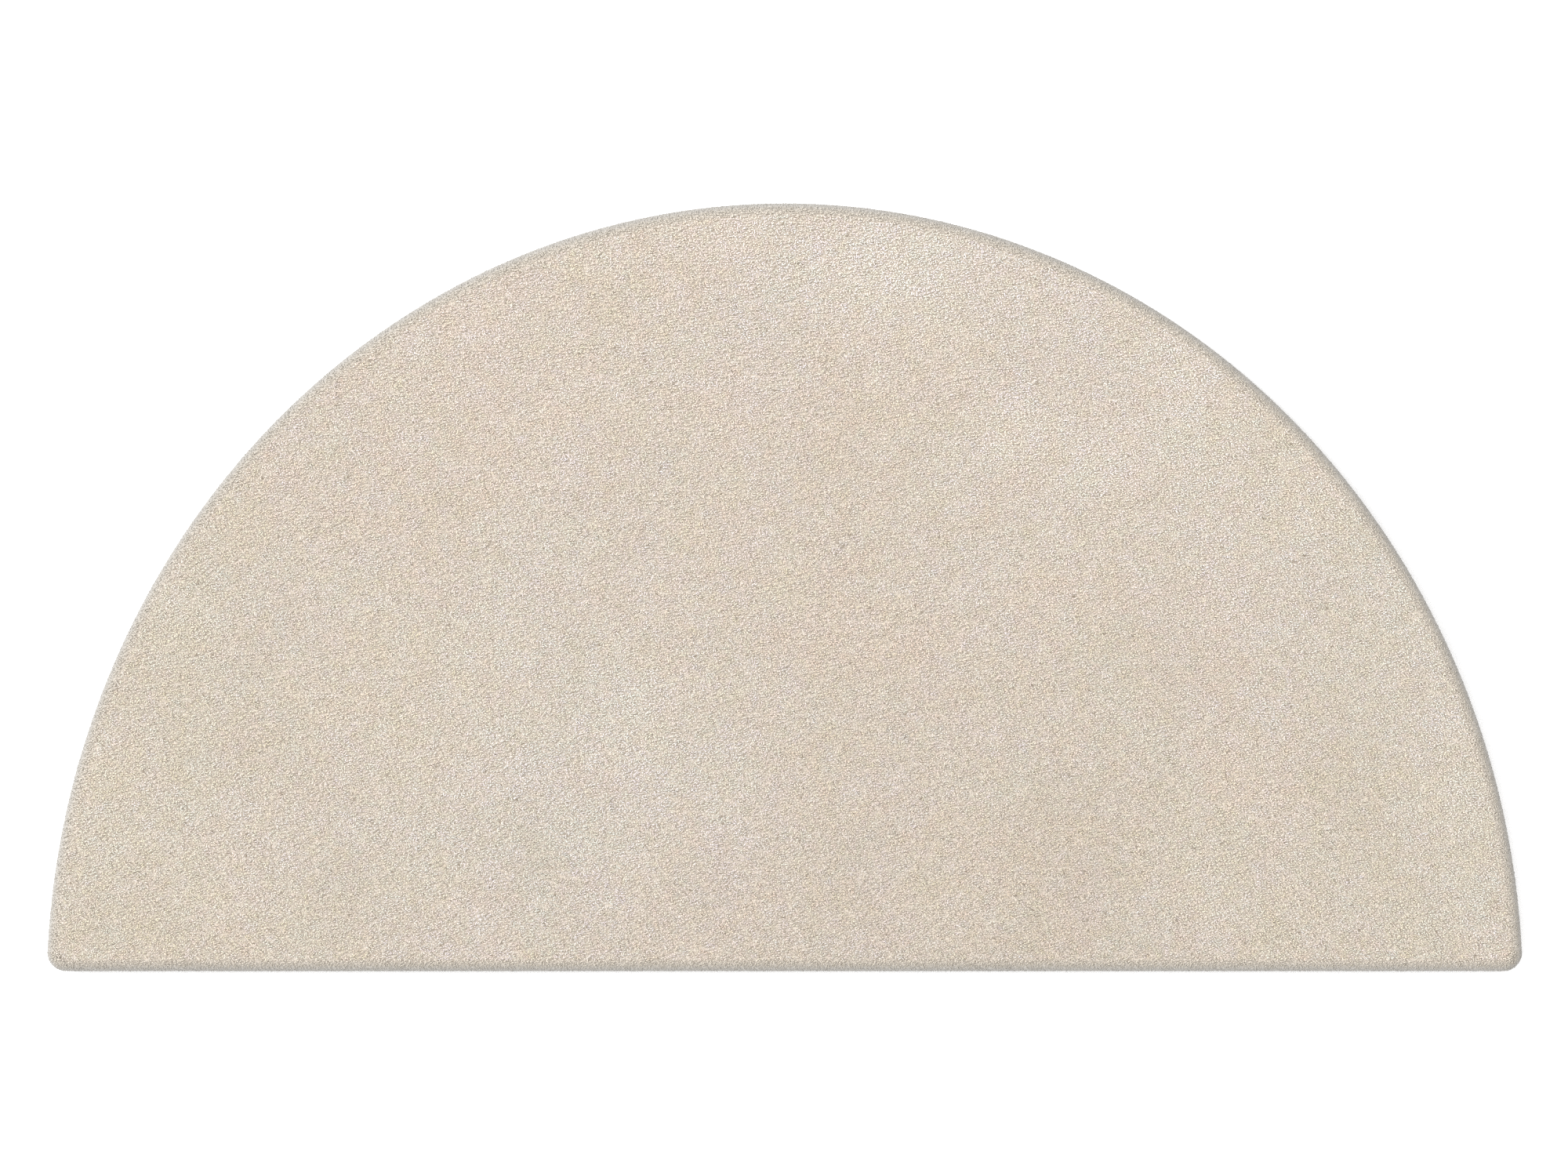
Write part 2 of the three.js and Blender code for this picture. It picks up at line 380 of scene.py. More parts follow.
def base_rings():
    """The rings of the base cloth's skin from its underside to near its middle, and for each
    ring how much of a rim it is, and so how much painted shade of the side it gets."""
    distance = base_steps()
    places, outward = along_line(distance)
    foot = places - outward * BASE_FOOT_INSET
    rings = [np.column_stack([foot, np.zeros(len(foot))])]
    marks = [1.0]
    for climb in np.linspace(0, ROLL_LENGTH, BASE_ROLL_RINGS + 1):
        share = float(top_share(climb))
        sink = RIM_TIP_DEPTH + (TIP_DEPTH - RIM_TIP_DEPTH) * share
        rings.append(roll_at(distance, np.full_like(distance, climb), sink)[0])
        marks.append(1 - share)
    shoulder = rings[-1][:, :2]
    for ring in range(1, BASE_TOP_RINGS):
        at = shoulder + (MIDDLE - shoulder) * ring / BASE_TOP_RINGS
        rings.append(np.column_stack([at, PILE_TOP - TIP_DEPTH + unevenness(*at.T)]))
        marks.append(0.0)
    return rings, marks


# %% Make a mesh from points and triangles
def add_mesh(name, points, triangles, chart=None):
    """A smooth mesh object of triangles, with an optional chart of where each point is painted."""
    mesh = bpy.data.meshes.new(name)
    mesh.vertices.add(len(points))
    mesh.vertices.foreach_set("co", np.asarray(points, np.float32).ravel())
    corners = np.asarray(triangles, np.int32).ravel()
    mesh.loops.add(len(corners))
    mesh.loops.foreach_set("vertex_index", corners)
    mesh.polygons.add(len(corners) // 3)
    mesh.polygons.foreach_set("loop_start", np.arange(0, len(corners), 3, dtype=np.int32))
    mesh.polygons.foreach_set("use_smooth", np.ones(len(corners) // 3, bool))
    if chart is not None:
        layer = mesh.uv_layers.new(name=CHART, do_init=False)
        layer.uv.foreach_set("vector", np.asarray(chart, np.float32)[corners].ravel())
    mesh.update(calc_edges=True)
    mesh.validate()
    piece = bpy.data.objects.new(name, mesh)
    bpy.context.scene.collection.objects.link(piece)
    return piece


# %% Close the rings into a skin
def add_base():
    rings, marks = base_rings()
    under, top = [*MIDDLE, 0.0], [*MIDDLE, PILE_TOP - TIP_DEPTH + float(unevenness(*MIDDLE))]
    points = np.concatenate([*rings, [under], [top]])
    count = BASE_EDGE_POINTS
    step = np.arange(count)
    after = (step + 1) % count
    triangles = []
    for ring in range(len(rings) - 1):
        a, b = ring * count + step, ring * count + after
        triangles += [np.column_stack([a, b, b + count]), np.column_stack([a, b + count, a + count])]
    inner = (len(rings) - 1) * count
    triangles.append(np.column_stack([np.full(count, len(points) - 2), after, step]))
    triangles.append(np.column_stack([np.full(count, len(points) - 1), inner + step, inner + after]))
    cloth = add_mesh("base_cloth", points, np.concatenate(triangles))
    mark = cloth.data.attributes.new(RIM_SHADE_MARK, "FLOAT", "POINT")
    mark.data.foreach_set("value", np.append(np.repeat(marks, count), [0.0, 0.0]))
    return cloth


base_cloth = add_base()
print("The base cloth has", len(base_cloth.data.polygons), "triangles")

# %% [markdown]
# ## Where the strands stand
#
# The pile could be made of hair curves, but only meshes go out with the model. So each strand
# Each strand is a slim mesh of its own. On the top they stand in staggered rows with a little
# scatter, as tufting leaves them, and their tips point along a lean that fans slowly from left to
# right. On its side they lie flat and point straight up it, or
# straight down where it curls under, which makes the rim smooth, and towards the shoulder they
# turn into the lean.

# %% Plant the top and the rim
TUFT_PITCH = 0.00214
RIM_PITCH = 0.00195
SCATTER = 0.32
RIM_SCATTER = 0.45
ROW_HEADING = 0.7
ROW_SHARE = math.sqrt(3) / 2
LEAN_ACROSS = (-0.6, 0.05, 0.25, 0.45, 0.6)
LEAN_DEGREES = (27, 30, 12, -15, -20)
PLANTING_SEED = 11

chance = np.random.default_rng(PLANTING_SEED)


def unit(vectors):
    return vectors / np.linalg.norm(vectors, axis=-1, keepdims=True)


def lean_at(x):
    """The way the tips point on the top."""
    angle = np.radians(np.interp(x, LEAN_ACROSS, LEAN_DEGREES))
    return np.column_stack([np.cos(angle), np.sin(angle), np.zeros_like(angle)])


def top_tips():
    """Where the strands of the top stand, the way the pile faces and the way they point."""
    reach = math.hypot(RUG_WIDTH, RUG_DEPTH) / 2
    along, across = np.meshgrid(
        np.arange(-reach, reach, TUFT_PITCH), np.arange(-reach, reach, TUFT_PITCH * ROW_SHARE)
    )
    along[1::2] += TUFT_PITCH / 2
    along, across = (
        v + TUFT_PITCH * chance.uniform(-SCATTER, SCATTER, v.shape) for v in (along, across)
    )
    x = along * math.cos(ROW_HEADING) - across * math.sin(ROW_HEADING)
    y = along * math.sin(ROW_HEADING) + across * math.cos(ROW_HEADING)
    planted = inset_at(x, y) > SHOULDER_INSET
    x, y = x[planted], y[planted]
    places = np.column_stack([x, y, PILE_TOP + unevenness(x, y)])
    return places, np.tile((0.0, 0, 1), (len(x), 1)), lean_at(x)


def rim_tips():
    """The same for the strands on the roll, and how much each one belongs to the top."""
    rows = round(ROLL_LENGTH / (RIM_PITCH * ROW_SHARE))
    per_row = round(LINE_LENGTH / RIM_PITCH)
    step, row = np.meshgrid(np.arange(per_row), np.arange(rows))
    step = step + 0.5 * (row % 2) + chance.uniform(-RIM_SCATTER, RIM_SCATTER, step.shape)
    row = row + 0.5 + chance.uniform(-RIM_SCATTER, RIM_SCATTER, row.shape)
    climb = row.ravel() / rows * ROLL_LENGTH
    places, facing, uphill = roll_at(step.ravel() * LINE_LENGTH / per_row, climb)
    share = top_share(climb)
    uphill *= np.where(climb < WIDEST_CLIMB, -1, 1)[:, None]
    heading = uphill * (1 - share[:, None]) + lean_at(places[:, 0]) * share[:, None]
    heading -= facing * np.sum(heading * facing, axis=1, keepdims=True)
    return places, facing, unit(heading), share


top_places, top_facing, top_heading = top_tips()
rim_places, rim_facing, rim_heading, rim_share = rim_tips()
print(len(top_places), "strands on the top and", len(rim_places), "on the rim")

# %% [markdown]
# ## The shape of a strand
#
# A cut end of yarn bends over where its neighbours let go of it, is fullest at the bend, and
# thins to its tip. A spindle of six triangles has all of that: a point at the root, a ring of
# three at the bend, and a point at the tip. On the top one corner of the ring is turned up,
# more or less, so that each strand has a lit side and a shaded side, as a round one has. On the
# side of the roll a flat face is turned out instead, which keeps the outline smooth. A strand
# painted dark brown, as painted shade of a deep gap between tufts, is slimmer than the rest and
# stands a little prouder. Every strand strays a little from the lean, partly together with its
# neighbours, and that gives the grain of the top.

# %% Grow the strands
CURL_SIZE = 0.004
CURL_SEED = 5
SIZE_SPREAD = 0.25
ROOT_STRAY = 0.8
TIP_AHEAD = 0.7
RIDGE_UP, RIDGE_DOWN = -math.pi / 2, math.pi / 2
RIDGE_SPREAD = 0.5
TOP_STRAND = dict(
    thick=0.00053, tip_reach=0.0028, tip_drop=0.0004, root_reach=0.0008, root_drop=0.0022,
    tip_over=0.0002, uneven=0.0001, swing=0.2, stray=0.8, ridge=RIDGE_UP,
)
SIDE_STRAND = dict(
    thick=0.00042, tip_reach=0.0020, tip_drop=0.0002, root_reach=0.0008, root_drop=0.0006,
    tip_over=-0.0002, uneven=0.00008, swing=0.2, stray=0.2, ridge=RIDGE_DOWN,
)
# The strands painted dark brown stand for deep gaps between tufts: painted shade.
SHADED_SPECK_STRAND = dict(TOP_STRAND, thick=0.00046, tip_reach=0.0022, tip_over=0.0006)
STRAND_TRIANGLES = np.array([[0, 2, 1], [0, 3, 2], [0, 1, 3], [1, 2, 4], [2, 3, 4], [3, 1, 4]])
POINTS_PER_STRAND = 5


def between_kinds(first, second, share):
    """Strands that are partly of one kind and partly of another."""
    return {name: first[name] + (second[name] - first[name]) * share for name in first}


def turned(direction, about, angle):
    """A direction turned by an angle about one that is square to it."""
    square = np.cross(about, direction)
    return direction * np.cos(angle)[:, None] + square * np.sin(angle)[:, None]


def grow(places, facing, heading, kind):
    """The five points of each strand whose middle belongs at its place."""
    count = len(places)

    def vary(name):
        return (kind[name] * chance.uniform(1 - SIZE_SPREAD, 1 + SIZE_SPREAD, count))[:, None]

    swirl = mottle(places[:, 0], places[:, 1] + places[:, 2], CURL_SIZE, CURL_SEED)
    stray = kind["swing"] * swirl + kind["stray"] * chance.normal(0, 1, count)
    ahead = turned(heading, facing, stray)
    behind = -turned(heading, facing, stray + chance.normal(0, ROOT_STRAY, count))
    over = (kind["tip_over"] + kind["uneven"] * chance.normal(0, 1, count))[:, None]
    tip_reach, tip_drop = vary("tip_reach"), vary("tip_drop")
    tip = places + ahead * tip_reach * TIP_AHEAD + facing * over
    bend = tip - ahead * tip_reach - facing * tip_drop
    root = bend + behind * vary("root_reach") - facing * vary("root_drop")
    along = unit(tip - root)
    across = unit(np.cross(along, facing))
    ridge = kind["ridge"] + chance.normal(0, RIDGE_SPREAD, count)
    thick = vary("thick")
    bends = [bend + thick * turned(across, along, ridge + k * 2 * math.pi / 3) for k in range(3)]
    return np.stack([root, *bends, tip], 1)


# %% [markdown]
# ## The chart
#
# A strand needs only two facts to be painted: its own tint and shade, and how far up it a
# point lies. So every strand is laid on one small chart, up from root to tip, and across by
# its column and its place in it. Each column is one tint, from warm to pale in steps and, in
# each step, from oat to rosy, and a shade runs from dark to light across its column. One more
# column is dark brown, painted shade for the few deep gaps between tufts that show as specks.
# A plan of the rug seen from above could serve too, but its paint would smear over strands
# that are finer than its dots.

# %% Give each strand its shade and its tint
PALE_STEPS = 5
ROSY_STEPS = 3
SHADED_SPECK_COLUMN = PALE_STEPS * ROSY_STEPS
COLUMNS = SHADED_SPECK_COLUMN + 1
# A few strands are painted dark brown, as painted shade of deep gaps between tufts.
SHADED_SPECK_SHARE = 0.004
STRAND_WIDTH_ON_CHART = 0.001
EDGE_OF_COLUMN = 0.08
BEND_ON_CHART = 0.5
MIDDLING = 0.5
OWN_SHADE_SPREAD = 0.05
SHADE_CLOUDS = [
    # how much a cloud counts, how wide it is in metres, and the seed of its places
    dict(strength=0.04, size=0.045, seed=21),
    dict(strength=0.04, size=0.012, seed=32),
]
PALE_CLOUDS = [
    dict(strength=0.34, size=0.004, seed=31),
    dict(strength=0.30, size=0.012, seed=32),
    dict(strength=0.14, size=0.050, seed=35),
]
ROSY_CLOUDS = [
    dict(strength=0.52, size=0.005, seed=33),
    dict(strength=0.27, size=0.040, seed=34),
]
# How strongly the patches and drifts paint light and shade into the strands.
PATCH_PAINTED_LIGHT = 0.27
DRIFT_PAINTED_LIGHT = 0.18
PALE_IN_DRIFT = 0.17
# Where a patch is painted lighter, its strands are painted a little paler too.
PALE_IN_PATCH = 0.15
ROSY_IN_DRIFT = 0.27


def clouded(clouds, x, y):
    """The sum of some soft clouds of chance values."""
    return sum(cloud["strength"] * mottle(x, y, cloud["size"], cloud["seed"]) for cloud in clouds)


def shades_of(places, seed, spread=1.0):
    """Each strand's shade from 0 to 1, from the painted light and shade of its patch and drift, soft
    clouds and chance.
    """
    x, y = places[:, 0], places[:, 1]
    own = np.random.default_rng(seed).normal(0, OWN_SHADE_SPREAD, len(x)) * spread
    # The painted light and shade of the patches and drifts.
    painted_light = PATCH_PAINTED_LIGHT * field(PATCHES, "light", x, y) + DRIFT_PAINTED_LIGHT * field(DRIFTS, "light", x, y)
    return MIDDLING + own + clouded(SHADE_CLOUDS, x, y) + painted_light


def stepped(value, steps, dice):
    """Rounds values from 0 to 1 up or down to a step by chance, so that no border shows."""
    return np.floor(value * (steps - 1) + dice.random(len(value))).clip(0, steps - 1)


def columns_of(places, seed):
    """The column of each strand's tint. Strands of one tint keep together a little."""
    x, y = places[:, 0], places[:, 1]
    dice = np.random.default_rng(seed)
    pale = MIDDLING + clouded(PALE_CLOUDS, x, y)
    rosy = MIDDLING + clouded(ROSY_CLOUDS, x, y)
    pale += PALE_IN_DRIFT * field(DRIFTS, "pale", x, y) + PALE_IN_PATCH * field(PATCHES, "light", x, y)
    rosy += ROSY_IN_DRIFT * field(DRIFTS, "rosy", x, y)
    column = stepped(pale, PALE_STEPS, dice) * ROSY_STEPS + stepped(rosy, ROSY_STEPS, dice)
    return np.where(dice.random(len(x)) < SHADED_SPECK_SHARE, SHADED_SPECK_COLUMN, column)


def chart_of(shade, column):
    """Each strand's five points on the chart."""
    inside = EDGE_OF_COLUMN + (1 - 2 * EDGE_OF_COLUMN) * shade.clip(0, 1)
    across = (column + inside) / COLUMNS
    u = across[:, None] + STRAND_WIDTH_ON_CHART * np.array([0, -1, 0, 1, 0])
    v = np.array([0, BEND_ON_CHART, BEND_ON_CHART, BEND_ON_CHART, 1])
    return np.stack([u, np.broadcast_to(v, u.shape)], -1)


def add_strands(name, strands, shade, column):
    first = np.arange(len(strands))[:, None, None] * POINTS_PER_STRAND
    triangles = (STRAND_TRIANGLES + first).reshape(-1, 3)
    chart = chart_of(shade, column)
    return add_mesh(name, strands.reshape(-1, 3), triangles, chart.reshape(-1, 2))


# %% Make the pieces of the pile
TOP_PIECES = 5
SHADE_SEED, TINT_SEED, RIM_SHADE_SEED = 41, 42, 43
order = np.argsort(top_places[:, 0], kind="stable")
top_shade, top_column = shades_of(top_places, SHADE_SEED), columns_of(top_places, TINT_SEED)
top_kind = between_kinds(TOP_STRAND, SHADED_SPECK_STRAND, top_column == SHADED_SPECK_COLUMN)
top_strands = grow(top_places, top_facing, top_heading, top_kind)
top_pile = []
for number, chosen in enumerate(np.array_split(order, TOP_PIECES), 1):
    piece = add_strands(f"pile_{number}", top_strands[chosen], top_shade[chosen], top_column[chosen])
    top_pile.append(piece)

# On the rim the columns go from the shoulder's colour to the painted shade of the side, darker and
# greyer.
SIDE_SHADE_INSETS = (0.0020, 0.0038, 0.0064, 0.0105)
SIDE_SHADE_SHARE = (1.0, 0.55, 0.30, 0.0)
SIDE_SHADE_SPREAD = 0.4
rim_inset = np.where(rim_share > 0, inset_at(rim_places[:, 0], rim_places[:, 1]), 0)
rim_shade_column = stepped(np.interp(rim_inset, SIDE_SHADE_INSETS, SIDE_SHADE_SHARE), COLUMNS, chance)
rim_kind = between_kinds(SIDE_STRAND, TOP_STRAND, rim_share)
rim_strands = grow(rim_places, rim_facing, rim_heading, rim_kind)
rim_spread = SIDE_SHADE_SPREAD + (1 - SIDE_SHADE_SPREAD) * rim_share
rim_shade = shades_of(rim_places, RIM_SHADE_SEED, rim_spread)
rim_pile = add_strands("rim_pile", rim_strands, rim_shade, rim_shade_column)
for piece in [*top_pile, rim_pile]:
    print(piece.name, "has", len(piece.data.polygons), "triangles")

# %% [markdown]
# ## Painting with expressions
#
# A shader is sums on sockets. Wrapping a socket in a small class lets those sums be written as
# Python expressions, and each operator adds its node. Any other node comes from one method.

# %% Wrap the sockets
class Signal:
    """A value that a node gives out, for use in sums."""

    def __init__(self, paint, socket):
        self.paint = paint
        self.socket = socket

    def _sum(self, operation, first, second):
        return self.paint.node("ShaderNodeMath", {"operation": operation}, {0: first, 1: second})

    def __add__(self, other):
        return self._sum("ADD", self, other)

    def __radd__(self, other):
        return self._sum("ADD", other, self)

    def __sub__(self, other):
        return self._sum("SUBTRACT", self, other)

    def __rsub__(self, other):
        return self._sum("SUBTRACT", other, self)

    def __mul__(self, other):
        return self._sum("MULTIPLY", self, other)

    def __rmul__(self, other):
        return self._sum("MULTIPLY", other, self)

    def __truediv__(self, other):
        return self._sum("DIVIDE", self, other)

    def __rtruediv__(self, other):
        return self._sum("DIVIDE", other, self)


# %% Add nodes with one method
class Paint:
    """A material under construction, with one way of adding a node."""

    def __init__(self, name):
        self.material = bpy.data.materials.new(name)
        self.material.use_nodes = True
        self.nodes = self.material.node_tree.nodes
        self.links = self.material.node_tree.links
        self.nodes.clear()

    def feed(self, socket, value):
        """Links a signal to a socket, or sets the socket to a plain value."""
        if isinstance(value, Signal):
            self.links.new(value.socket, socket)
        elif socket.type == "RGBA" and len(value) == 3:
            socket.default_value = (*value, 1.0)
        else:
            socket.default_value = value

    def node(self, kind, settings=None, inputs=None, output=0):
        """Adds a node, sets it up, feeds its sockets and returns one of its outputs."""
        node = self.nodes.new(kind)
        for name, value in (settings or {}).items():
            if name == "stops":
                self.set_stops(node.color_ramp, value)
            else:
                setattr(node, name, value)
        for name, value in (inputs or {}).items():
            self.feed(node.inputs[name], value)
        return Signal(self, node.outputs[output])

    @staticmethod
    def set_stops(ramp, stops):
        """Sets the stops of a colour ramp, each a place and a colour."""
        while len(ramp.elements) < len(stops):
            ramp.elements.new(1.0)
        for element, (place, colour) in zip(ramp.elements, stops):
            element.position = place
            element.color = (*colour, 1.0)

    def blend(self, kind, share, first, second):
        """Mixes two colours. The Mix node keeps its colour sockets after its number sockets."""
        settings = {"data_type": "RGBA", "blend_type": kind}
        return self.node("ShaderNodeMix", settings, {0: share, 6: first, 7: second}, output=2)

    def finish(self, shader):
        """Ends the material with its surface and returns it."""
        output = self.nodes.new("ShaderNodeOutputMaterial")
        self.links.new(shader.socket, output.inputs["Surface"])
        return self.material


# %% [markdown]
# ## The yarn
#
# The yarn is a soft, matt, cream fibre. One strand is a shade lighter or darker than the next,
# because it catches the light on another side and was spun from other fibres, and it may lean
# to yellow, to pink or to white. On the roll the yarn is painted darker and greyer towards the
# side, as painted shade of the side that the pile rolls over. The roots are painted darker than
# the tips, as painted shade of the depth of the pile. All of that is read off the chart: the
# column tells the tint, and the place in the column tells the shade.

# %% Paint the yarn
WARM_TO_PALE = [
    dict(name="warm", dark=(0.571, 0.492, 0.392), light=(0.897, 0.800, 0.668)),
    dict(name="cream", dark=(0.547, 0.493, 0.431), light=(0.865, 0.800, 0.721)),
    dict(name="pale", dark=(0.547, 0.517, 0.493), light=(0.865, 0.832, 0.808)),
]
# The dark brown of the specks: painted shade of deep gaps between tufts.
SHADED_SPECK_COLOURS = [(0.18, 0.14, 0.10), (0.36, 0.30, 0.23)]
OAT_CAST = (0.977, 1.016, 0.958)
ROSY_CAST = (1.033, 0.992, 1.035)
# The rim's tints grow darker and greyer towards the side: painted shade of the rolled side.
SHOULDER_TO_SHADED_SIDE = [
    dict(name="shoulder", dark=(0.560, 0.505, 0.427), light=(0.780, 0.720, 0.645)),
    dict(name="bend", dark=(0.462, 0.425, 0.356), light=(0.629, 0.585, 0.508)),
    dict(name="turn", dark=(0.390, 0.364, 0.317), light=(0.511, 0.478, 0.431)),
    dict(name="side", dark=(0.346, 0.327, 0.297), light=(0.432, 0.412, 0.377)),
]
# The roots are painted darker than the tips: painted shade of the depth of the pile.
ROOT_PAINTED_SHADE = (0.60, 0.575, 0.54)
TIP_FROM = 0.7
YARN_ROUGHNESS = 0.85
YARN_SPECULAR = 0.25


def tinted(paint, tints, share, shade):
    """The colour at a share of the way along some tints, at a shade from dark to light."""
    ends = []
    for end in ("dark", "light"):
        stops = [(place / (len(tints) - 1), tint[end]) for place, tint in enumerate(tints)]
        ends.append(paint.node("ShaderNodeValToRGB", {"stops": stops}, {0: share}))
    return paint.blend("MIX", shade, *ends)


def top_colour(paint, column, shade):
    pale_step = paint.node("ShaderNodeMath", {"operation": "FLOOR"}, {0: column / ROSY_STEPS})
    rosy_step = column - pale_step * ROSY_STEPS
    colour = tinted(paint, WARM_TO_PALE, pale_step / (PALE_STEPS - 1), shade)
    cast = paint.blend("MIX", rosy_step / (ROSY_STEPS - 1), OAT_CAST, ROSY_CAST)
    colour = paint.blend("MULTIPLY", 1.0, colour, cast)
    # Strands in the last column are painted dark brown, as painted shade of deep gaps.
    is_shaded_speck = paint.node(
        "ShaderNodeMath", {"operation": "GREATER_THAN"}, {0: column, 1: SHADED_SPECK_COLUMN - 0.5}
    )
    return paint.blend("MIX", is_shaded_speck, colour, paint.blend("MIX", shade, *SHADED_SPECK_COLOURS))


# The rim yarn's colour, with the painted shade of the side.
def shaded_rim_colour(paint, column, shade):
    return tinted(paint, SHOULDER_TO_SHADED_SIDE, column / (COLUMNS - 1), shade)


def yarn_material(name, colour_of):
    """Yarn whose colour comes from the chart through the given function."""
    paint = Paint(name)
    chart = paint.node("ShaderNodeUVMap", {"uv_map": CHART})
    across = paint.node("ShaderNodeSeparateXYZ", inputs={0: chart}, output="X") * COLUMNS
    up = paint.node("ShaderNodeSeparateXYZ", inputs={0: chart}, output="Y")
    column = paint.node("ShaderNodeMath", {"operation": "FLOOR"}, {0: across})
    # Painted shade of the depth of the pile, from the root up to the tip.
    stops = [(0.0, ROOT_PAINTED_SHADE), (TIP_FROM, (1, 1, 1))]
    root = paint.node("ShaderNodeValToRGB", {"stops": stops}, {0: up})
    shader = paint.node("ShaderNodeBsdfPrincipled", inputs={
        "Base Color": paint.blend("MULTIPLY", 1.0, colour_of(paint, column, across - column), root),
        "Roughness": YARN_ROUGHNESS,
        "Specular IOR Level": YARN_SPECULAR,
    })
    return paint.finish(shader)


top_yarn = yarn_material("top_yarn", top_colour)
for piece in top_pile:
    piece.data.materials.append(top_yarn)
rim_pile.data.materials.append(yarn_material("rim_yarn", shaded_rim_colour))

# %% [markdown]
# ## The base cloth's finish
#
# Between the strands the imported lower pile shows as fine fibres of the same yarn, so a noise
# as fine as the strands colours it and roughens it. It is painted darker than the yarn, as
# painted shade of the depth between the strands, and on the roll darker and greyer still, as
# painted shade of the side. The underside is plain woven cloth: two waves at right angles give
# its threads. The height over the floor tells the two apart.

# %% Paint the base cloth
FIBRE_SIZE = 0.0014
THREAD_PITCH = 0.0024
WAVES_PER_SCALE = 20 / (2 * math.pi)
# The base is painted darker than the yarn: painted shade of the depth between the strands.
BASE_SHADED_DARK = (0.457, 0.396, 0.328)
BASE_SHADED_LIGHT = (0.670, 0.610, 0.536)
# On the roll the base is painted darker and greyer: painted shade of the side.
SHADED_RIM_DARK = (0.298, 0.282, 0.261)
SHADED_RIM_LIGHT = (0.363, 0.352, 0.329)
WEAVE_DARK = (0.52, 0.46, 0.38)
WEAVE_LIGHT = (0.70, 0.64, 0.55)
UNDERSIDE_HEIGHT = 0.0004
THREAD_WAVER = 0.6
FIBRE_RANGE = (0.3, 0.7)
RELIEF_STRENGTH = 0.6
RELIEF_DEPTH = 0.0006
BASE_ROUGHNESS = 0.95
BASE_SPECULAR = 0.15


def base_material():
    paint = Paint("base_weave")
    place = paint.node("ShaderNodeTexCoord", output="Object")
    height = paint.node("ShaderNodeSeparateXYZ", inputs={0: place}, output="Z")
    wave_scale = 1 / THREAD_PITCH / WAVES_PER_SCALE / 2
    threads = []
    for direction in ("X", "Y"):
        threads.append(paint.node(
            "ShaderNodeTexWave",
            {"wave_type": "BANDS", "bands_direction": direction},
            {"Vector": place, "Scale": wave_scale, "Distortion": THREAD_WAVER},
            output="Fac",
        ))
    weave = (threads[0] + threads[1]) * 0.5
    fibre = paint.node(
        "ShaderNodeTexNoise", inputs={"Vector": place, "Scale": 1 / FIBRE_SIZE}, output="Fac"
    )
    fibre = paint.node("ShaderNodeMapRange", inputs={0: fibre, 1: FIBRE_RANGE[0], 2: FIBRE_RANGE[1]})
    above = paint.node("ShaderNodeMath", {"operation": "GREATER_THAN"}, {0: height, 1: UNDERSIDE_HEIGHT})
    # The rim mark says where the base takes the painted shade of the side.
    rim = paint.node("ShaderNodeAttribute", {"attribute_name": RIM_SHADE_MARK}, output="Fac")
    shaded_pile_colour = paint.blend("MIX", fibre, BASE_SHADED_DARK, BASE_SHADED_LIGHT)
    shaded_rim_colour = paint.blend("MIX", fibre, SHADED_RIM_DARK, SHADED_RIM_LIGHT)
    shaded_pile_colour = paint.blend("MIX", rim, shaded_pile_colour, shaded_rim_colour)
    weave_colour = paint.blend("MIX", weave, WEAVE_DARK, WEAVE_LIGHT)
    relief = weave * (1 - above) + fibre * above
    bump = paint.node(
        "ShaderNodeBump",
        inputs={"Height": relief, "Strength": RELIEF_STRENGTH, "Distance": RELIEF_DEPTH},
    )
    shader = paint.node("ShaderNodeBsdfPrincipled", inputs={
        "Base Color": paint.blend("MIX", above, weave_colour, shaded_pile_colour),
        "Roughness": BASE_ROUGHNESS,
        "Specular IOR Level": BASE_SPECULAR,
        "Normal": bump,
    })
    return paint.finish(shader)


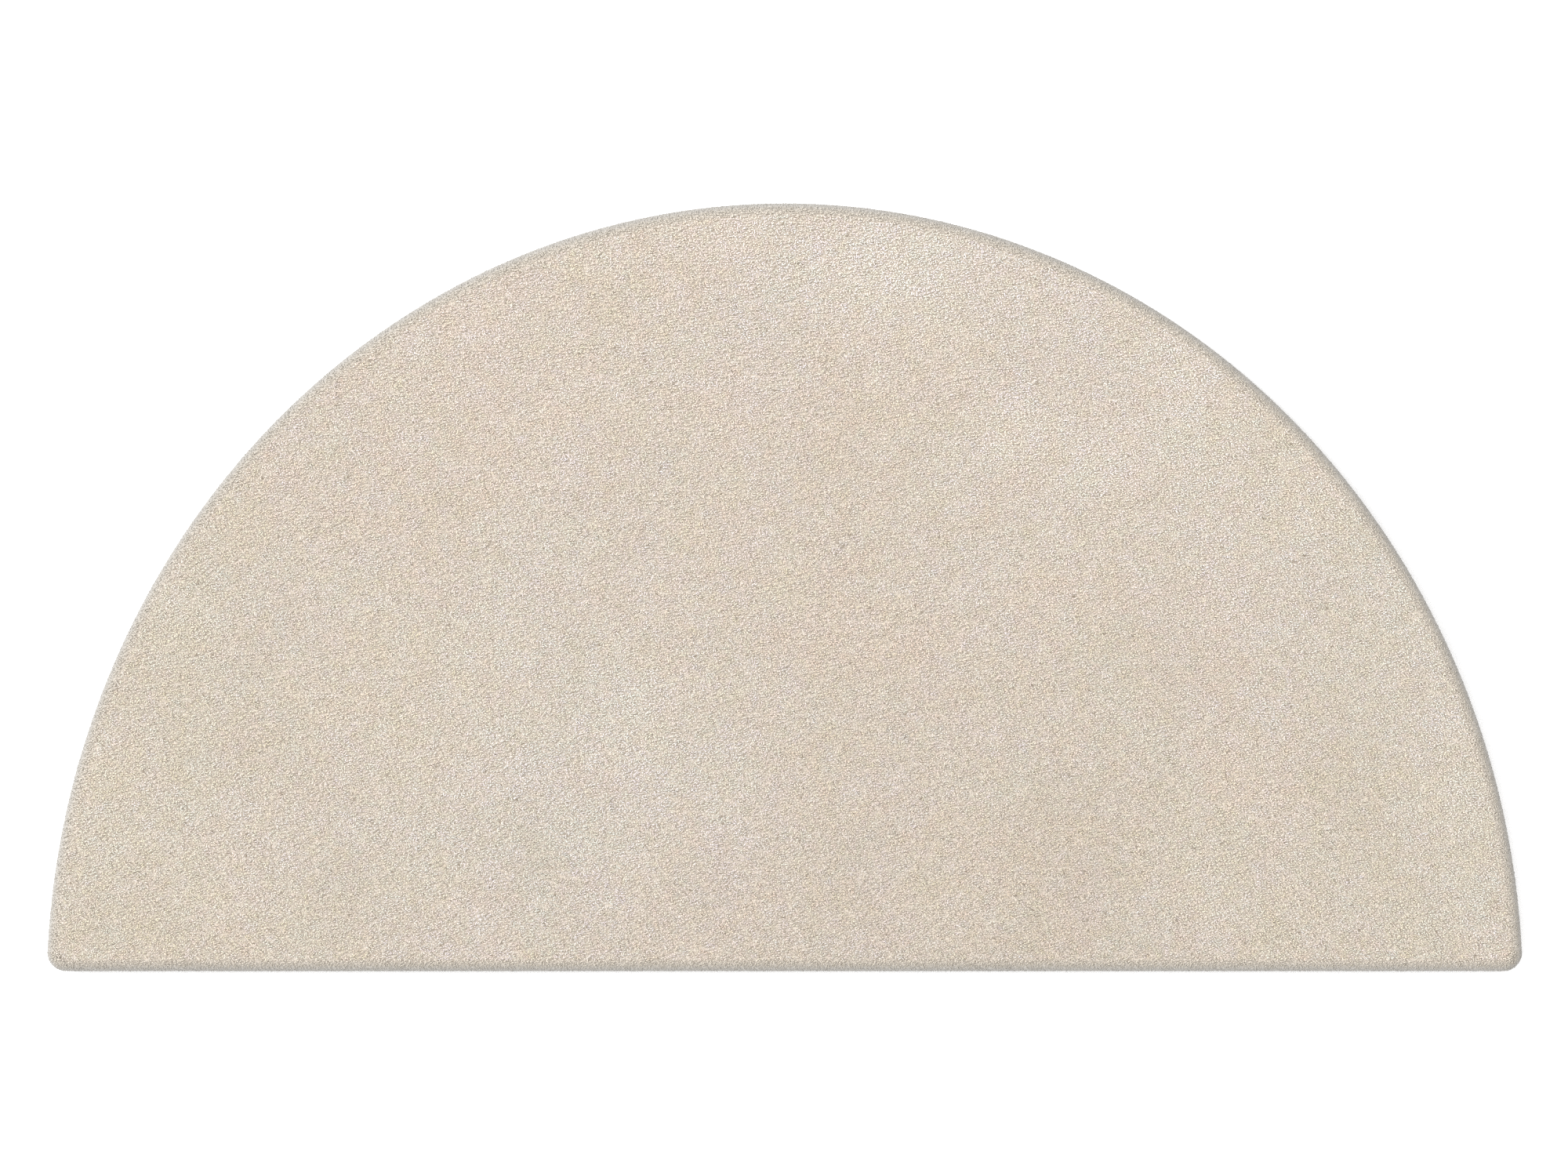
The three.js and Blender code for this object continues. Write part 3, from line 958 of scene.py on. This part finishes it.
base_cloth.data.materials.append(base_material())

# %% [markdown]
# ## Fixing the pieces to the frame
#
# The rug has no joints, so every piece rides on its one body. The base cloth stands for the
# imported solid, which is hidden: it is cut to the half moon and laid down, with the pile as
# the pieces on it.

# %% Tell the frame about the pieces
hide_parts("rug")
for piece in [base_cloth, *top_pile, rim_pile]:
    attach(piece, "root")

# %% [markdown]
# ## Floor and light
#
# The rug lies on a plain white floor in a bright studio. Most of the light comes evenly from
# all round, which keeps the shadows thin, and a soft key from the left shapes the rim: the
# left side of the roll is lighter than the top, and the right side is darker. The smoothing
# that takes the noise out of a picture stays off, because it takes out pile as fine as a dot
# of the picture too.

# %% Lay the floor and set the lights
FLOOR_SIZE = 40
FLOOR_DROP = 0.0005
FLOOR_COLOUR = (0.98, 0.98, 0.98)
FLOOR_ROUGHNESS = 0.9
SKY_STRENGTH = 1.33
KEY_STRENGTH = 3.2
KEY_AZIMUTH = math.radians(160)
KEY_HEIGHT = math.radians(37)
KEY_SOFTNESS = math.radians(25)


def add_floor():
    paint = Paint("white_floor")
    shader = paint.node(
        "ShaderNodeBsdfPrincipled", inputs={"Base Color": FLOOR_COLOUR, "Roughness": FLOOR_ROUGHNESS}
    )
    half = FLOOR_SIZE / 2
    corners = [(-half, -half), (half, -half), (half, half), (-half, half)]
    points = [(x, y, -FLOOR_DROP) for x, y in corners]
    floor = add_mesh("floor", points, [(0, 1, 2), (0, 2, 3)])
    floor.data.materials.append(paint.finish(shader))


def add_lights():
    world = bpy.data.worlds.new("studio")
    world.use_nodes = True
    background = world.node_tree.nodes["Background"]
    background.inputs["Color"].default_value = (1, 1, 1, 1)
    background.inputs["Strength"].default_value = SKY_STRENGTH
    bpy.context.scene.world = world
    key_data = bpy.data.lights.new("key", "SUN")
    key_data.energy = KEY_STRENGTH
    key_data.angle = KEY_SOFTNESS
    key = bpy.data.objects.new("key", key_data)
    towards = Vector((
        math.cos(KEY_AZIMUTH) * math.cos(KEY_HEIGHT),
        math.sin(KEY_AZIMUTH) * math.cos(KEY_HEIGHT),
        math.sin(KEY_HEIGHT),
    ))
    key.rotation_euler = towards.to_track_quat("Z", "Y").to_euler()
    bpy.context.scene.collection.objects.link(key)


add_floor()
add_lights()
bpy.context.scene.view_settings.view_transform = "Standard"
bpy.context.scene.cycles.use_denoising = False
